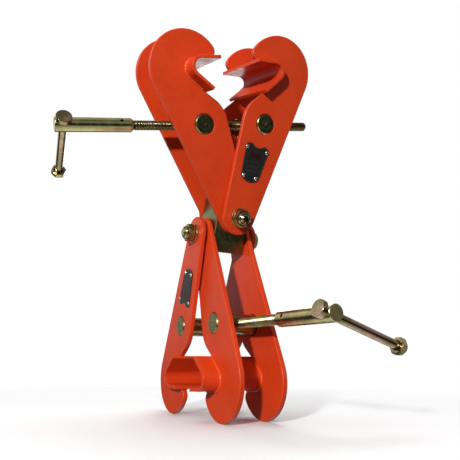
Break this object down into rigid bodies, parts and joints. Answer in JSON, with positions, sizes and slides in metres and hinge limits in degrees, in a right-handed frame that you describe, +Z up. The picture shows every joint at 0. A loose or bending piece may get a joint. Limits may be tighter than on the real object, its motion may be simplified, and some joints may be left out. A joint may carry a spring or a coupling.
{
  "type": "beam clamp",
  "caption": "Beam-to-beam screw clamp: orange jaw arms above and below a crosswise steel block, each end worked by a threaded screw with a sliding tommy bar.",
  "frame": {"origin": "centre of the footprint's bounding box, on the floor under the lower clamp's heads", "axes": "+Z up; the lower clamp's pivot bolt runs along X with its nut at -X, and the lower handle points to -Y; the upper clamp's handle points to -X"},
  "size_m": [0.2692, 0.2734, 0.3973],
  "materials": {
    "orange_paint": "satin orange-red paint",
    "yellow_zinc": "yellow passivated zinc plating",
    "bright_steel": "bright",
    "nameplate": "dark anodised, blank"
  },
  "bodies": {
    "block": {"centre_block": "yellow_zinc"},
    "upper_pivot": {"upper_pivot_bolt": "yellow_zinc", "upper_pivot_nut": "yellow_zinc", "upper_nut_side_washer": "yellow_zinc", "upper_head_side_washer": "yellow_zinc", "upper_nut_side_spacer": "yellow_zinc", "upper_head_side_spacer": "yellow_zinc"},
    "upper_inner_arm": {"upper_inner_nut_side_plate": "orange_paint", "upper_inner_head_side_plate": "orange_paint", "upper_inner_jaw": "orange_paint"},
    "upper_outer_arm": {"upper_outer_nut_side_plate": "orange_paint", "upper_outer_head_side_plate": "orange_paint", "upper_outer_jaw": "orange_paint", "upper_nameplate": "nameplate", "upper_rivet_1": "bright_steel", "upper_rivet_2": "bright_steel", "upper_rivet_3": "bright_steel", "upper_rivet_4": "bright_steel"},
    "upper_inner_trunnion": {"upper_inner_trunnion": "yellow_zinc"},
    "upper_outer_trunnion": {"upper_outer_trunnion": "yellow_zinc"},
    "upper_screw": {"upper_screw": "yellow_zinc"},
    "upper_handle": {"upper_handle": "yellow_zinc", "upper_handle_pin": "bright_steel"},
    "upper_tommy_bar": {"upper_tommy_bar": "yellow_zinc", "upper_tommy_nut": "yellow_zinc"},
    "lower_pivot": {"lower_pivot_bolt": "yellow_zinc", "lower_pivot_nut": "yellow_zinc", "lower_nut_side_washer": "yellow_zinc", "lower_head_side_washer": "yellow_zinc", "lower_nut_side_spacer": "yellow_zinc", "lower_head_side_spacer": "yellow_zinc"},
    "lower_inner_arm": {"lower_inner_nut_side_plate": "orange_paint", "lower_inner_head_side_plate": "orange_paint", "lower_inner_jaw": "orange_paint"},
    "lower_outer_arm": {"lower_outer_nut_side_plate": "orange_paint", "lower_outer_head_side_plate": "orange_paint", "lower_outer_jaw": "orange_paint", "lower_nameplate": "nameplate", "lower_rivet_1": "bright_steel", "lower_rivet_2": "bright_steel", "lower_rivet_3": "bright_steel", "lower_rivet_4": "bright_steel"},
    "lower_inner_trunnion": {"lower_inner_trunnion": "yellow_zinc"},
    "lower_outer_trunnion": {"lower_outer_trunnion": "yellow_zinc"},
    "lower_screw": {"lower_screw": "yellow_zinc"},
    "lower_handle": {"lower_handle": "yellow_zinc", "lower_handle_pin": "bright_steel"},
    "lower_tommy_bar": {"lower_tommy_bar": "yellow_zinc", "lower_tommy_nut": "yellow_zinc"}
  },
  "joints": [
    {"name": "upper_swing", "type": "hinge", "parent": "block", "child": "upper_pivot", "pos_m": [0.0536, 0.03627, 0.2073], "axis": [0, 0.9397, 0.342], "range_deg": [-5.6, 30.4]},
    {"name": "upper_inner_arm_turn", "type": "hinge", "parent": "upper_pivot", "child": "upper_inner_arm", "pos_m": [0.0536, 0.03627, 0.2073], "axis": [0, 0.9397, 0.342], "range_deg": [-21.22, 5.32]},
    {"name": "upper_outer_arm_turn", "type": "hinge", "parent": "upper_pivot", "child": "upper_outer_arm", "pos_m": [0.0536, 0.03627, 0.2073], "axis": [0, 0.9397, 0.342], "range_deg": [-5.32, 21.22]},
    {"name": "upper_inner_trunnion_turn", "type": "hinge", "parent": "upper_inner_arm", "child": "upper_inner_trunnion", "pos_m": [0.0018, 0.00701, 0.28768], "axis": [0, 0.9397, 0.342], "range_deg": [-5.32, 21.22]},
    {"name": "upper_outer_trunnion_turn", "type": "hinge", "parent": "upper_outer_arm", "child": "upper_outer_trunnion", "pos_m": [0.06475, 0.00228, 0.30068], "axis": [0, 0.9397, 0.342], "range_deg": [-21.22, 5.32]},
    {"name": "upper_screw_feed", "type": "slide", "parent": "upper_inner_trunnion", "child": "upper_screw", "axis": [0.9767, -0.0734, 0.2018], "range_m": [-0.00826, 0.03298]},
    {"name": "upper_handle_turn", "type": "hinge", "parent": "upper_screw", "child": "upper_handle", "pos_m": [-0.0937, 0.01419, 0.26795], "axis": [0.9767, -0.0734, 0.2018], "range_deg": [-988.8, 3955.2]},
    {"name": "upper_bar_slide", "type": "slide", "parent": "upper_handle", "child": "upper_tommy_bar", "axis": [-0.1292, -0.9515, 0.2792], "range_m": [0, 0.06]},
    {"name": "lower_swing", "type": "hinge", "parent": "block", "child": "lower_pivot", "pos_m": [0.0536, 0.04475, 0.184], "axis": [1, 0, 0], "range_deg": [-6, 46]},
    {"name": "lower_inner_arm_turn", "type": "hinge", "parent": "lower_pivot", "child": "lower_inner_arm", "pos_m": [0.0536, 0.04475, 0.184], "axis": [1, 0, 0], "range_deg": [-22.02, 4.52]},
    {"name": "lower_outer_arm_turn", "type": "hinge", "parent": "lower_pivot", "child": "lower_outer_arm", "pos_m": [0.0536, 0.04475, 0.184], "axis": [1, 0, 0], "range_deg": [-4.52, 22.02]},
    {"name": "lower_inner_trunnion_turn", "type": "hinge", "parent": "lower_inner_arm", "child": "lower_inner_trunnion", "pos_m": [0.0536, 0.01385, 0.08889], "axis": [1, 0, 0], "range_deg": [-4.52, 22.02]},
    {"name": "lower_outer_trunnion_turn", "type": "hinge", "parent": "lower_outer_arm", "child": "lower_outer_trunnion", "pos_m": [0.0536, 0.07565, 0.08889], "axis": [1, 0, 0], "range_deg": [-22.02, 4.52]},
    {"name": "lower_screw_feed", "type": "slide", "parent": "lower_inner_trunnion", "child": "lower_screw", "axis": [0, 1, 0], "range_m": [-0.00702, 0.03422]},
    {"name": "lower_handle_turn", "type": "hinge", "parent": "lower_screw", "child": "lower_handle", "pos_m": [0.0536, -0.09625, 0.08889], "axis": [0, 1, 0], "range_deg": [-839.6, 4104.5]},
    {"name": "lower_bar_slide", "type": "slide", "parent": "lower_handle", "child": "lower_tommy_bar", "axis": [-0.9511, 0, 0.309], "range_m": [0, 0.06]}
  ],
  "couplings": [
    {"joint": "upper_inner_arm_turn", "follows": "upper_handle_turn", "ratio": -0.00536},
    {"joint": "upper_outer_arm_turn", "follows": "upper_handle_turn", "ratio": 0.00536},
    {"joint": "upper_inner_trunnion_turn", "follows": "upper_handle_turn", "ratio": 0.00536},
    {"joint": "upper_outer_trunnion_turn", "follows": "upper_handle_turn", "ratio": -0.00536},
    {"joint": "upper_screw_feed", "follows": "upper_handle_turn", "m_per_rad": 0.00047746},
    {"joint": "lower_inner_arm_turn", "follows": "lower_handle_turn", "ratio": -0.00536},
    {"joint": "lower_outer_arm_turn", "follows": "lower_handle_turn", "ratio": 0.00536},
    {"joint": "lower_inner_trunnion_turn", "follows": "lower_handle_turn", "ratio": 0.00536},
    {"joint": "lower_outer_trunnion_turn", "follows": "lower_handle_turn", "ratio": -0.00536},
    {"joint": "lower_screw_feed", "follows": "lower_handle_turn", "m_per_rad": 0.00047746}
  ]
}
